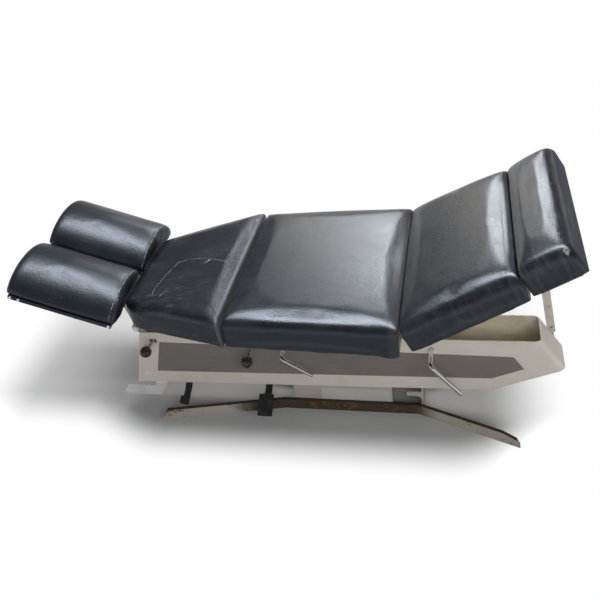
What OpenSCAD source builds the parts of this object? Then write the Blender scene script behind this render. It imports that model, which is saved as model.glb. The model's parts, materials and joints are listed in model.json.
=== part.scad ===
// Chiropractic table: a narrow steel trough on a low pedestal with splayed base bars
// carries a tilting headpiece and four upholstered sections.
// X runs from the head end to the foot end, Y across the table, Z up from the floor.

/* [Padded top] */
// Height of the lumbar cushion's top above the floor
top_h = 545; // [480:1:620]
// Thickness of the thoracic and lumbar cushions with their boards
pad_t = 96; // [60:1:110]
// Thickness of the pelvic and foot cushions with their boards
leg_pad_t = 95; // [70:1:110]
// Thickness of every plywood board
board_t = 12; // [9:1:18]
// How far each board lies inside the edge of its cushion
board_inset = 16; // [10:1:30]

/* [Lumbar section] */
// Length of the lumbar cushion
lumbar_len = 475; // [400:5:560]
// Width of the lumbar cushion at its head side
lumbar_head_w = 600; // [480:5:660]
// Width of the lumbar cushion at its foot side
lumbar_foot_w = 646; // [480:2:680]

/* [Thoracic section] */
// Length of the thoracic cushion
thoracic_len = 336; // [240:1:360]
// Width of the thoracic cushion at its narrow head side
thoracic_head_w = 364; // [300:2:460]
// Width of the thoracic cushion at its foot side
thoracic_foot_w = 615; // [480:5:660]
// Slope of the thoracic section down to the head end
thoracic_tilt = 5.6; // [0:0.1:12]
// Gap to the lumbar cushion when the thoracic section is level
thoracic_gap = 2.5; // [2:0.5:8]

/* [Pelvic and foot sections] */
// Length of the pelvic cushion
pelvic_len = 318; // [260:2:420]
// Width of the pelvic cushion at its head side
pelvic_head_w = 636; // [480:2:680]
// Width of the pelvic cushion at its foot side
pelvic_foot_w = 580; // [480:5:660]
// Slope of the raised pelvic section
leg_tilt = 28; // [20:1:32]
// How far the raised pelvic cushion's edge reaches over the lumbar cushion's rounded edge
leg_nest = 8; // [0:0.5:8.5]
// Length of the foot cushion
foot_len = 135; // [100:1:200]
// Width of the foot cushion
foot_w = 562; // [440:2:640]
// Extra slope of the foot cushion over the pelvic cushion
foot_tilt = 4; // [0:1:8]
// Gap between the pelvic and the foot cushions
foot_gap = 3; // [2.5:0.5:16]

/* [Headpiece] */
// Length of the two half-round head cushions
head_len = 328; // [260:2:360]
// Width of one head cushion
head_pad_w = 250; // [180:2:280]
// Height of a head cushion with its board
head_pad_h = 90; // [80:1:140]
// Gap between the two head cushions
head_gap = 16; // [6:1:60]
// Upward slope of the headpiece
head_tilt = 20; // [0:1:28]
// Distance from the headpiece's hinge up to the underside of its boards
head_rise = 163; // [150:1:190]

/* [Frame trough] */
// Outer width of the trough
frame_w = 125; // [110:1:160]
// Thickness of the trough's sheet steel
sheet_t = 4; // [3:0.5:5]
// Height of the trough's top edge above the floor
frame_top = 302; // [280:1:330]
// Height of the bottom edge at the head end
frame_low_head = 84; // [76:1:96]
// Height of the bottom edge where the prow starts
frame_low_foot = 108; // [98:1:120]
// How far the trough's top head corner lies past the thoracic cushion
frame_head_past = 56; // [34:1:84]
// How far the head end leans out at its bottom
head_lean = 63; // [20:1:80]
// Place of the bottom corner where the prow starts
prow_start_x = 723; // [690:1:740]
// Place of the prow's tip
prow_tip_x = 929; // [900:1:960]
// Height of the prow's tip
prow_tip_z = 200; // [185:1:215]
// Place of the top foot corner
frame_foot_x = 858; // [840:1:875]
// Radius of the bent corners at the foot end
prow_corner_r = 18; // [12:1:22]

/* [Base] */
// Height of the flat base bars
bar_h = 38; // [30:1:50]
// Thickness of the flat base bars
bar_t = 12; // [8:1:16]
// Distance of the bars' head tips before the lumbar cushion's edge
bar_head_x = 352; // [300:2:420]
// Place of the bars' foot tips
bar_foot_x = 806; // [760:2:860]
// Distance from the centre line to the bars' head tips
bar_head_y = 149; // [120:1:220]
// Distance from the centre line to the bars' foot tips
bar_foot_y = 190; // [150:1:260]
// Place of the pedestal's head side
pedestal_x = 96; // [80:1:120]
// Length of the pedestal
pedestal_len = 419; // [380:1:440]

/* [Levers and pedals] */
// Diameter of the ball knobs
ball_d = 38; // [32:0.5:44]
// Diameter of the ball levers' rods
lever_rod_d = 9; // [8:0.5:10]
// Diameter of the bent crank rods
crank_d = 13; // [11:0.5:14]
// Length of the lumbar crank's arm
lumbar_crank_len = 116; // [90:1:140]
// Length of the pelvic crank's arm
pelvic_crank_len = 142; // [110:1:160]
// Width of the pedal arms
pedal_arm_w = 22; // [18:1:28]
// Thickness of the pedal arms
pedal_arm_t = 6; // [5:0.5:8]
// Width of the rubber pedal pad
pedal_pad_w = 46; // [36:1:60]

/* [Running parts] */
// Diameter of the section hinge pins
pin_d = 10; // [8:0.5:12]
// Diameter of the foot section's slide rods
slide_rod_d = 14; // [12:0.5:16]
// Radial clearance of pins and rods in their bores
fit = 0.05; // [0.02:0.01:0.1]
// Width of the prop arm
prop_w = 24; // [20:1:28]
// Thickness of the prop arm
prop_t = 6; // [5:0.5:8]

/* [Hidden] */
$fn = 48;

// Overrun of every cut past the face that it opens
over = 1;
// Clearance between pieces that only lie near each other
slack = 0.3;
// Clearance between a moving piece and the part beside it
side_gap = 1;

// Half of the trough's outer and inner widths
frame_y = frame_w / 2;
inner_y = frame_y - sheet_t;

// Colours of the finishes
cream = [0.80, 0.76, 0.67];
taupe = [0.45, 0.42, 0.39];
vinyl = [0.07, 0.07, 0.08];
ply = [0.12, 0.11, 0.10];
steel = [0.62, 0.62, 0.60];
zinc = [0.78, 0.79, 0.80];
chrome = [0.85, 0.85, 0.86];
black = [0.05, 0.05, 0.05];
rubber = [0.08, 0.08, 0.08];

// Place of the trough's top head corner, before the lumbar cushion's edge
frame_head_x = thoracic_len + frame_head_past;
// Height of the frame's bottom edge at a place along the table
low_head_x = -frame_head_x - head_lean;
low_slope = (frame_low_foot - frame_low_head) / (prow_start_x - low_head_x);
function frame_low(x) = frame_low_head + (x - low_head_x) * low_slope;

// Outline of the trough seen from the side
frame_outline = [
  [-frame_head_x, frame_top], [low_head_x, frame_low_head], [prow_start_x, frame_low_foot],
  [prow_tip_x, prow_tip_z], [frame_foot_x, frame_top]];
// Slope of the prow's end face from upright, and the length of that face
prow_lean = atan2(prow_tip_x - frame_foot_x, frame_top - prow_tip_z);
prow_face = norm([prow_tip_x - frame_foot_x, frame_top - prow_tip_z]);
// Depth of the bent end piece, square to its face
prow_depth = 40;
// Height of the trough floor's underside above the foot end's bottom edge
pan_rise = 2;
pan_z = frame_low_foot + pan_rise;
pan_top = pan_z + sheet_t;
// Run of the prow's sloping floor
prow_slope = (prow_tip_z - frame_low_foot) / (prow_tip_x - prow_start_x);

// Carrier trays: top sheet, flange depth and half width
tray_t = 4;
tray_y = 60;
flange_h = 24;
// Thickness of stand and ear plates, and their outer half width
cheek_t = 6;
cheek_y = 52;
// Radius of every hinge knuckle
knuckle_r = 9;
stand_knuckle_r = 8;
// Height of the under-board hinges below the boards
hinge_drop = tray_t + knuckle_r;
hinge_z = top_h - pad_t - hinge_drop;
// Reach of the pins beyond the trays
pin_reach = 3;

// Hinge places of the sections
thoracic_hx = -16;
// Distances of the lumbar hinge before its cushion's foot edge, and of the head hinge past the frame
lumbar_hinge_in = 30;
head_hinge_out = 8;
ear_clear = 2;
lumbar_hx = lumbar_len - lumbar_hinge_in;
leg_hinge_depth = leg_pad_t;
leg_edge = leg_hinge_depth * tan(leg_tilt / 2);
leg_hx = lumbar_len - leg_nest + leg_edge;
leg_neck = 60;
leg_hz = top_h - leg_hinge_depth;
head_hx = -frame_head_x - head_hinge_out;
head_pin_d = 12;
head_ear_r = 14;
head_ear_w = 20;
head_hz = frame_top + head_ear_r + ear_clear;
// Neck end of the head boards from the hinge's upright, and how far the cushions pass their other end
head_neck_x = -12;
head_board_in = 2;
head_over = 16;
head_tip = head_neck_x - head_len;
head_tip_x = head_hx + head_tip * cos(head_tilt) + (head_rise + board_t) * sin(head_tilt);
// Middle of the whole table along its length
centre_x = (prow_tip_x + head_tip_x) / 2;

// Place of the underside of the pelvic cushion in the leg section's own frame
leg_under = leg_hinge_depth - leg_pad_t;
pelvic_end = leg_edge + pelvic_len;
foot_start = pelvic_end + foot_gap;
leg_flange_h = 34;
leg_flange_past = 36;
leg_flange_end = foot_start + leg_flange_past;
// Place of the foot cushion's lower edge in the same frame
foot_low_x = foot_start + leg_pad_t * sin(foot_tilt);
foot_low_z = leg_hinge_depth - leg_pad_t * cos(foot_tilt);

// Cushion form: edge rounding, crown, drawn-in sides and the board's recess
edge_r = 13;
crown_h = 9;
draw_in = 5;
corner_r = 16;
neck_corner_r = 48;
least_r = 2;
recess_gap = slack;
corner_steps = 4;
edge_steps = 5;
// Rows of a cushion from its lower rim to the crown, as shares of the edge radius drawn in,
// of the way in to the middle, of the side's height, of the edge radius and of the crown
row_shares = [
  [0.40, 0, 0, 0, 0], [0.08, 0, 0.06, 0, 0], [0, 0, 0.20, 0, 0], [0.22, 0, 0.55, 0, 0],
  [0, 0, 1, 0, 0], [0.12, 0, 1, 0.48, 0], [0.45, 0, 1, 0.86, 0], [1, 0, 1, 1, 0],
  [1, 0.28, 1, 1, 0.55], [1, 0.66, 1, 1, 0.92]];
// Half-round cushion: stations as shares of its edge radius and how far each is drawn in
half_round_steps = 22;
half_round_power_share = 0.92;
station_shares = [[0, 0.75], [0.3, 0.25], [1, 0]];
half_round_edge = 14;
half_round_swell = 2;

// Base bars: bend places, tip heights and tapers
bar_head_bend_x = 60;
bar_foot_bend_x = 500;
bar_tip_low = 8;
bar_head_taper = 22;
bar_foot_taper = 52;
bar_foot_shoulder = 26;

// Pedestal: sheet thickness, window, hook and its fillet
pedestal_t = 5;
pedestal_low = 2;
pedestal_window = 92;
hook_len = 46;
hook_h = 16;
hook_fillet = 16;
hook_rise = 30;
hook_z = bar_h + hook_rise;
// Bare white plate on the pedestal
plate_x = 188;
plate_len = 226;
plate_h = 50;
plate_t = 1.5;

// Grey panels: corner places along the table and their heights
panel_t = 1;
panel_head_top = 264;
panel_head_low = 137;
panel_lean = 39;
panel_head_in = 61;
panel_head_x = frame_head_x - panel_head_in;
panel_foot_x = 780;
panel_foot_top = 243;
panel_tip_x = 813;
panel_tip_z = 198;
panel_low_x = 720;
panel_low_z = 156;

// Zinc bracket with its two holes
zinc_t = 3;
zinc_drop = 10;
zinc_z = frame_low_head - zinc_drop;
zinc_past = 35;
zinc_x = low_head_x - zinc_past;
zinc_len = 138;
zinc_near = 112;
zinc_wide = 40;
zinc_strap = 40;
zinc_leg_h = 32;
zinc_hole_d = 8;
zinc_hole_gap = 46;
zinc_hole_in = 20;
zinc_hole_x = zinc_x + zinc_hole_in;

// Screws on the frame
screw_d = 9;
screw_head_h = 2.5;
screw_foot_in = 16;
screw_foot_down = 14;
screw_head_in = 44;
screw_head_up = 40;
screw_places = [
  [frame_foot_x - screw_foot_in, frame_top - screw_foot_down],
  [low_head_x + screw_head_in, frame_low_head + screw_head_up]];
small_hole_d = 5;
small_hole_gap = 9;
small_hole_x = 768;
small_hole_z = 226;

// Stands: feet, waists and heads along the table
front_foot_x = 15;
front_foot_len = 62;
front_waist_up = 78;
front_waist_z = frame_top + front_waist_up;
front_top_z = hinge_z - cheek_t;
rear_foot_in = 48;
rear_foot_x = lumbar_len - rear_foot_in;
rear_foot_len = 92;
rear_waist_up = 28;
rear_waist_z = frame_top + rear_waist_up;
web_t = 5;
bumper_d = 24;
bumper_h = 6;
stop_in = 104;
stop_x = stop_in - thoracic_len;
stop_d = 26;
stop_top = 366;
stop_flange_d = 60;
stop_flange_t = 6;
lumbar_bump_x = 48;

// Levers: wall slot, pivot posts and knobs
slot_w = 25;
slot_h = 16;
post_d = 20;
lever_pin_d = 8;
lever_hub_d = 18;
lever_hub_h = 20;
post_neck_d = 12;
post_neck_h = 6;
post_y = -30;
post_top = 273;
ferrule_d = 14;
ferrule_len = 9;
head_lock_in = 54;
head_lock_reach = 32;
head_lock_post_x = head_lock_in - frame_head_x;
head_lock_ball = [head_lock_post_x - head_lock_reach, -97, 250];
thoracic_post_x = -10;
thoracic_ball = [-27, -110, 232];

// Cranks: shafts, bends, collars and cams
lumbar_crank_x = 91;
lumbar_crank_out = 62;
lumbar_crank_tilt = 35;
pelvic_crank_x = 543;
pelvic_crank_out = 76;
pelvic_crank_tilt = 50;
crank_bend = 14;
crank_z = 264;
collar_d = 24;
collar_t = 10;
cam_d = 28;
cam_t = 12;
bush_d = 24;
bush_t = 4;

// Drop rod of the lumbar section
drop_rod_d = 12;
drop_rod_clear = 14;
drop_rod_low = crank_z + cam_d / 2 + drop_rod_clear;

// Prop: stud plate, stud and the arm's seat
stud_plate_t = 3;
stud_plate_w = 44;
stud_plate_h = 44;
stud_in = 12.3;
stud_up = 24;
stud_x = prow_tip_x - stud_in - stud_up * tan(prow_lean);
stud_z = prow_tip_z + stud_up;
stud_d = 12;
prop_pivot_in = 12;
prop_pivot_up = 8;
prop_pivot_x = leg_flange_end - prop_pivot_in;
prop_pivot_z = leg_under - tray_t - leg_flange_h + prop_pivot_up;
prop_pin_d = 10;
prop_washer_d = 17;
prop_y = frame_y + stud_plate_t + side_gap;
prop_seat_tilt = 32;
prop_lip = 7;
// The prop's top pivot at rest, and its length and lean down to the stud
prop_top_x = leg_hx + prop_pivot_x * cos(leg_tilt) - prop_pivot_z * sin(leg_tilt);
prop_top_z = leg_hz + prop_pivot_x * sin(leg_tilt) + prop_pivot_z * cos(leg_tilt);
prop_len = norm([stud_x - prop_top_x, prop_top_z - stud_z]);
prop_lean = atan2(stud_x - prop_top_x, prop_top_z - stud_z);

// Foot section's slide: rods, guide blocks and wedge
rod_y_place = 34;
guide_w = 28;
guide_h = 26;
guide_len = 30;
guide_in = 130;
guide_back = 50;
guide_xs = [leg_edge + guide_in, pelvic_end - guide_back];
rod_z = leg_under - tray_t - guide_h / 2;
rod_in = 40;
rod_start = leg_edge + rod_in;
wedge_y = 48;
wedge_gap = 5;
wedge_start = pelvic_end + wedge_gap;
wedge_drop = 30;
wedge_low = leg_under - wedge_drop;
wedge_toe = 10;

// Headpiece: arm plates, carrier tray and tacks
head_arm_y = 44;
head_tray_y = 110;
head_tray_len = 270;
head_tray_in = 22;
head_arm_past = -126;
head_arm_near = -38;
head_slot_in = 60;
head_ear_y = inner_y;
head_nut_d = 19;
head_nut_t = 7;
tack_d = 8;
tack_h = 2;
tack_shares = [0.025, 0.854, 0.93];

// Pedals: hinge places, arm bends and pads
pedal_hinge_y = -38;
pedal_hinge_drop = 14;
pedal_hub_d = 16;
pedal_pin_d = 8;
head_pedal_in = 122;
head_pedal_x = head_pedal_in - frame_head_x;
middle_pedal_x = 12;
pedal_bracket_t = 4;
pedal_pad_t = 12;
pedal_knee_y = -74;
pedal_knee_z = 70;
head_pedal_end = [-112, 32];
head_pedal_skew = 14;
middle_pad_start = [-92, 74];
middle_pad_end = [-150, 34];

// Places every piece so that the middle of the table's length is the origin
module at_table() { translate([-centre_x, 0, 0]) children(); }

// Frames of the three tilting sections, with the origin on the hinge
module thoracic_place() { translate([thoracic_hx, 0, hinge_z]) rotate([0, -thoracic_tilt, 0]) children(); }
module leg_place() { translate([leg_hx, 0, leg_hz]) rotate([0, -leg_tilt, 0]) children(); }
module head_place() { translate([head_hx, 0, head_hz]) rotate([0, head_tilt, 0]) children(); }

// Flat plate from an outline in X and Z, between two places across the table
module slab(y0, y1) {
  translate([0, y1, 0]) rotate([90, 0, 0]) linear_extrude(y1 - y0) children();
}
// Round bar across the table
module rod_y(x, z, y0, y1, d) {
  translate([x, y0, z]) rotate([-90, 0, 0]) cylinder(d = d, h = y1 - y0);
}
// Round bar between two points
module rod_between(p, q, d) {
  v = q - p;
  translate(p) rotate([0, acos(v[2] / norm(v)), atan2(v[1], v[0])]) cylinder(d = d, h = norm(v));
}
// Copies a piece to the far side of the table
module both_sides() {
  children();
  mirror([0, 1, 0]) children();
}

// Outline of a strip of even thickness along a bent centre line
function step_dir(p, i) = (p[i + 1] - p[i]) / norm(p[i + 1] - p[i]);
function turn(v) = [-v[1], v[0]];
function joint_side(p, i) =
  let (a = turn(step_dir(p, max(i - 1, 0))), b = turn(step_dir(p, min(i, len(p) - 2))))
  (a + b) / (1 + a * b);
function strip(p, half) = concat(
  [for (i = [0:len(p) - 1]) p[i] + half * joint_side(p, i)],
  [for (i = [len(p) - 1:-1:0]) p[i] - half * joint_side(p, i)]);

// Base: two flat bars on edge, bent outwards from the pedestal to their tips
bar_line = [
  [-bar_head_x - bar_t, -bar_head_y - bar_t / 4], [bar_head_bend_x, -frame_y - bar_t / 2],
  [bar_foot_bend_x, -frame_y - bar_t / 2], [bar_foot_x + bar_t, -bar_foot_y - bar_t / 4]];
bar_outline = [
  [-bar_head_x, 0], [-bar_head_x, bar_tip_low], [-bar_head_x + bar_head_taper, bar_h],
  [bar_foot_x - bar_foot_taper, bar_h], [bar_foot_x - bar_foot_taper / 5, bar_foot_shoulder],
  [bar_foot_x, bar_tip_low], [bar_foot_x, 0]];
module base_bar() {
  color(cream) intersection() {
    linear_extrude(bar_h) polygon(strip(bar_line, bar_t / 2));
    slab(-bar_foot_y - bar_head_y, 0) polygon(bar_outline);
  }
}
module base_bar_near() { base_bar(); }
module base_bar_far() { mirror([0, 1, 0]) base_bar(); }

// Pedestal: four welded plates between the bars, with a window near the foot end
pedestal_end = pedestal_x + pedestal_len;
module pedestal_side(x_end) {
  polygon([
    [pedestal_x, pedestal_low], [x_end, pedestal_low],
    [x_end, frame_low(x_end)], [pedestal_x, frame_low(pedestal_x)]]);
}
module pedestal_near_panel() {
  color(cream) slab(-frame_y, -frame_y + pedestal_t)
    pedestal_side(pedestal_end - pedestal_t - pedestal_window);
}
module pedestal_far_panel() {
  color(cream) slab(frame_y - pedestal_t, frame_y) pedestal_side(pedestal_end);
}
module pedestal_head_plate() {
  color(cream) slab(-frame_y + pedestal_t, frame_y - pedestal_t) polygon([
    [pedestal_x, pedestal_low], [pedestal_x + pedestal_t, pedestal_low],
    [pedestal_x + pedestal_t, pan_z], [pedestal_x, pan_z]]);
}
module pedestal_foot_plate() {
  x0 = pedestal_end - pedestal_t;
  color(cream) {
    slab(-frame_y, frame_y - pedestal_t) polygon([
      [x0, pedestal_low], [pedestal_end, pedestal_low],
      [pedestal_end, frame_low(pedestal_end)], [x0, frame_low(x0)]]);
    slab(-frame_y, -frame_y + pedestal_t) difference() {
      union() {
        translate([x0 - hook_len, hook_z]) square([hook_len + over, hook_h]);
        translate([x0 - hook_fillet, hook_z - hook_fillet]) square([hook_fillet + over, hook_fillet + over]);
      }
      translate([x0 - hook_fillet, hook_z - hook_fillet]) circle(hook_fillet);
    }
  }
}
module blank_plate() {
  color("white") slab(-frame_y - plate_t, -frame_y)
    translate([plate_x, bar_h + over]) square([plate_len, plate_h]);
}

// Everything within a depth of the prow's end face
module prow_block(depth) {
  translate([prow_tip_x, 0, prow_tip_z]) rotate([0, -prow_lean, 0])
    translate([-depth, -frame_w, -2 * prow_face]) cube([2 * depth, 2 * frame_w, 4 * prow_face]);
}
// Plan of the bent end piece: straight flanks and two round corners
module end_shape(depth, half, r) {
  translate([-depth, -half]) square([depth - r, 2 * half]);
  translate([-r - over, r - half]) square([r + over, 2 * (half - r)]);
  for (s = [-1, 1]) translate([-r, s * (half - r)]) circle(r);
}
module end_column(reach) {
  translate([prow_tip_x, 0, prow_tip_z]) rotate([0, -prow_lean, 0])
    translate([0, 0, -reach]) linear_extrude(2 * reach) children();
}

// Trough: side plates with the levers' openings
module side_plate() {
  difference() {
    slab(-frame_y, -inner_y) difference() {
      polygon(frame_outline);
      children();
    }
    prow_block(prow_depth);
  }
}
module wall_slot(place) { translate(place) square([slot_w, slot_h], center = true); }
module near_side_plate() {
  color(cream) side_plate() {
    wall_slot(wall_place(head_lock_post_x, head_lock_ball));
    wall_slot(wall_place(thoracic_post_x, thoracic_ball));
    for (x = [lumbar_crank_x, pelvic_crank_x]) translate([x, crank_z]) circle(d = crank_d + 2 * side_gap);
  }
}
module far_side_plate() {
  color(cream) mirror([0, 1, 0]) side_plate()
    for (i = [0, 1]) translate([small_hole_x + i * small_hole_gap, small_hole_z]) circle(d = small_hole_d);
}
// Length of the trough from its low head corner to the prow's tip
table_run = prow_tip_x - low_head_x;
// Inner face of the slanted head end at a height
function head_face(z) =
  low_head_x + sheet_t + (z - frame_low_head) * head_lean / (frame_top - frame_low_head);
module head_end_plate() {
  color(cream) slab(-inner_y, inner_y) polygon([
    [-frame_head_x, frame_top], [low_head_x, frame_low_head],
    [head_face(frame_low_head), frame_low_head], [head_face(frame_top), frame_top]]);
}
module trough_pan() {
  tip_rise = (prow_tip_x - prow_start_x) * prow_slope;
  color(cream) intersection() {
    slab(-frame_w, frame_w) polygon([
      [head_face(pan_z), pan_z], [prow_start_x, pan_z], [prow_tip_x, pan_z + tip_rise],
      [prow_tip_x, pan_top + tip_rise], [prow_start_x, pan_top], [head_face(pan_top), pan_top]]);
    end_column(table_run) translate([-sheet_t, 0])
      end_shape(2 * table_run, inner_y, prow_corner_r - sheet_t);
  }
}
module foot_end_plate() {
  past_tip = prow_tip_x + prow_face;
  color(cream) intersection() {
    slab(-frame_w, frame_w) polygon([
      [prow_start_x, frame_top], [prow_start_x, frame_low_foot],
      [past_tip, prow_tip_z + prow_face * prow_slope], [past_tip, frame_top]]);
    end_column(2 * prow_face) difference() {
      end_shape(prow_depth, frame_y, prow_corner_r);
      translate([-sheet_t, 0]) end_shape(prow_depth, inner_y, prow_corner_r - sheet_t);
    }
  }
}

// Grey panels on both sides of the trough
module grey_panel() {
  slab(-frame_y - panel_t, -frame_y) difference() {
    polygon([
      [-panel_head_x, panel_head_top], [-panel_head_x - panel_lean, panel_head_low],
      [panel_low_x, panel_low_z], [panel_tip_x, panel_tip_z], [panel_foot_x, panel_foot_top]]);
    children();
  }
}
module grey_panels() {
  color(taupe) {
    grey_panel() wall_slot(wall_place(thoracic_post_x, thoracic_ball));
    mirror([0, 1, 0]) grey_panel();
  }
}

// Bent zinc bracket under the head end, with two bolt holes
module zinc_bracket() {
  strap_x = zinc_x + zinc_len - zinc_strap;
  color(zinc) difference() {
    union() {
      translate([zinc_x, -zinc_near, zinc_z]) cube([zinc_len, zinc_wide, zinc_t]);
      translate([strap_x, -zinc_near, zinc_z]) cube([zinc_strap, zinc_near - inner_y + zinc_t, zinc_t]);
      translate([strap_x, -inner_y, zinc_z]) cube([zinc_strap, zinc_t, zinc_leg_h]);
    }
    for (i = [0, 1]) translate([zinc_hole_x + i * zinc_hole_gap, zinc_wide / 2 - zinc_near, zinc_z - over])
      cylinder(d = zinc_hole_d, h = zinc_t + 2 * over);
  }
}
module frame_screws() {
  color(zinc) for (p = screw_places) rod_y(p[0], p[1], -frame_y - screw_head_h, -frame_y, screw_d);
}

// Stands inside the trough that carry the padded sections
module cheeks() { both_sides() slab(-cheek_y, cheek_t - cheek_y) children(); }
module front_stand() {
  foot_end = front_foot_x + front_foot_len;
  inner = cheek_y - cheek_t;
  color(cream) difference() {
    union() {
      cheeks() {
        polygon([
          [front_foot_x, pan_top], [foot_end, pan_top], [foot_end, front_top_z],
          [thoracic_hx, front_top_z], [thoracic_hx - stand_knuckle_r, hinge_z],
          [front_foot_x, front_waist_z]]);
        translate([thoracic_hx, hinge_z]) circle(stand_knuckle_r);
      }
      translate([front_foot_x, -inner, front_top_z - web_t]) cube([front_foot_len, 2 * inner, web_t]);
      translate([front_foot_x + front_foot_len / 2, -inner, pan_top])
        cube([web_t, 2 * inner, front_top_z - pan_top]);
    }
    rod_y(thoracic_hx, hinge_z, -frame_w, frame_w, pin_d + 2 * fit);
  }
}
module rear_stand() {
  foot_end = rear_foot_x + rear_foot_len;
  inner = cheek_y - cheek_t;
  shelf_z = hinge_z + stand_knuckle_r / 2;
  color(cream) difference() {
    union() {
      cheeks() {
        polygon([
          [rear_foot_x, pan_top], [foot_end, pan_top], [foot_end, rear_waist_z],
          [leg_hx + stand_knuckle_r, leg_hz - leg_neck], [leg_hx + stand_knuckle_r, leg_hz],
          [leg_hx - stand_knuckle_r, leg_hz], [leg_hx - stand_knuckle_r, shelf_z],
          [lumbar_hx, shelf_z], [lumbar_hx - stand_knuckle_r, hinge_z], [rear_foot_x, rear_waist_z]]);
        translate([leg_hx, leg_hz]) circle(stand_knuckle_r);
        translate([lumbar_hx, hinge_z]) circle(stand_knuckle_r);
      }
      translate([rear_foot_x + rear_foot_len / 2, -inner, pan_top])
        cube([web_t, 2 * inner, front_top_z - pan_top]);
    }
    rod_y(leg_hx, leg_hz, -frame_w, frame_w, pin_d + 2 * fit);
    rod_y(lumbar_hx, hinge_z, -frame_w, frame_w, pin_d + 2 * fit);
  }
}
module rubber_bumpers() {
  color(rubber) {
    translate([lumbar_bump_x, 0, front_top_z]) cylinder(d = bumper_d, h = bumper_h / 2);
    translate([stop_x, 0, stop_top]) cylinder(d = bumper_d, h = 2 * bumper_h);
  }
}
module thoracic_stop() {
  color(steel) {
    translate([stop_x, 0, pan_top]) cylinder(d = stop_flange_d, h = stop_flange_t);
    translate([stop_x, 0, pan_top]) cylinder(d = stop_d, h = stop_top - pan_top);
  }
}
module head_ears() {
  stem = ear_clear + sheet_t - frame_head_x;
  color(steel) difference() {
    both_sides() slab(-head_ear_y, cheek_t - head_ear_y) {
      polygon([
        [stem, frame_top - 5 * head_ear_r], [stem + head_ear_w, frame_top - 5 * head_ear_r],
        [stem + head_ear_w, frame_top], [head_hx + head_ear_r, head_hz],
        [head_hx, head_hz], [head_hx, frame_top + over], [stem, frame_top + over]]);
      translate([head_hx, head_hz]) circle(head_ear_r);
    }
    rod_y(head_hx, head_hz, -frame_w, frame_w, head_pin_d + 2 * fit);
  }
}

// Hinge pins
module hinge_pin(x, z) { color(steel) rod_y(x, z, -tray_y - pin_reach, tray_y + pin_reach, pin_d); }
module head_hinge_pin() {
  nut_y = head_ear_y + slack;
  color(zinc) {
    rod_y(head_hx, head_hz, -nut_y - head_nut_t - pin_reach, nut_y + head_nut_t + pin_reach, head_pin_d);
    both_sides() rod_y(head_hx, head_hz, -nut_y - head_nut_t, -nut_y, head_nut_d);
  }
}
module thoracic_hinge_pin() { hinge_pin(thoracic_hx, hinge_z); }
module lumbar_hinge_pin() { hinge_pin(lumbar_hx, hinge_z); }
module leg_hinge_pin() { hinge_pin(leg_hx, leg_hz); }

// Posts that the two ball levers turn on
module lever_posts() {
  color(steel) for (x = [head_lock_post_x, thoracic_post_x]) translate([x, post_y, pan_top]) {
    cylinder(d = post_d, h = post_top - post_neck_h - pan_top);
    cylinder(d = post_neck_d, h = post_top - pan_top);
    cylinder(d = lever_pin_d, h = post_top - pan_top + lever_hub_h + pin_reach);
  }
}
// Bushes that the cranks turn in, on the inside of both walls
module crank_bushes() {
  color(steel) for (x = [lumbar_crank_x, pelvic_crank_x]) both_sides() difference() {
    rod_y(x, crank_z, -inner_y, bush_t - inner_y, bush_d);
    rod_y(x, crank_z, -frame_y, frame_y, crank_d + 2 * fit);
  }
}
// Stud on the far wall that the prop's seat rests on
module prop_stud() {
  color(steel) {
    difference() {
      translate([stud_x - stud_plate_w + stud_d, frame_y, stud_z - stud_plate_h / 2])
        cube([stud_plate_w, stud_plate_t, stud_plate_h]);
      prow_block(prow_corner_r);
    }
    rod_y(stud_x, stud_z, frame_y + over, prop_y + prop_t + pin_reach, stud_d);
  }
}

// Cushion: a closed form with a crown, drawn-in sides and a recess for its board
even_corners = [corner_r, corner_r, corner_r, corner_r];
corner_x_signs = [1, -1, -1, 1];
corner_y_signs = [1, 1, -1, -1];
function corner_point(a, b, rs, q, k) =
  let (r = rs[q], t = 90 * (q + k / corner_steps))
  [corner_x_signs[q] * (a - r) + r * cos(t), corner_y_signs[q] * (b - r) + r * sin(t)];
function rim(a, b, rs) = [for (q = [0:3])
  let (next = corner_point(a, b, rs, (q + 1) % 4, 0), last = corner_point(a, b, rs, q, corner_steps))
  for (k = [0:corner_steps + edge_steps])
    k <= corner_steps ? corner_point(a, b, rs, q, k)
      : last + (next - last) * (k - corner_steps) / (edge_steps + 1)];
function shaped(p, a, b, taper, pull, mid_x, z) =
  let (u = p[0] / a, v = p[1] / b)
  [mid_x + p[0] * (1 - pull / a * (1 - v * v)), p[1] * (1 - pull / b * (1 - u * u)) * (1 + taper * u), z];
function ring(length, w0, w1, rs, inset, pull, z) =
  let (a = length / 2 - inset, b = (w0 + w1) / 4 - inset, taper = (w1 - w0) * a / (2 * length * b))
  [for (p = rim(a, b, rs)) shaped(p, a, b, taper, pull, length / 2, z)];
function row_ring(s, length, w0, w1, rs, tall) =
  let (reach = min(length, w0, w1) / 2 - edge_r, inset = s[0] * edge_r + s[1] * reach,
       side = tall - crown_h - edge_r)
  ring(length, w0, w1, [for (r = rs) max(r - inset, least_r)], inset, draw_in * (1 - s[1]),
    s[2] * side + s[3] * edge_r + s[4] * crown_h);
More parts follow.
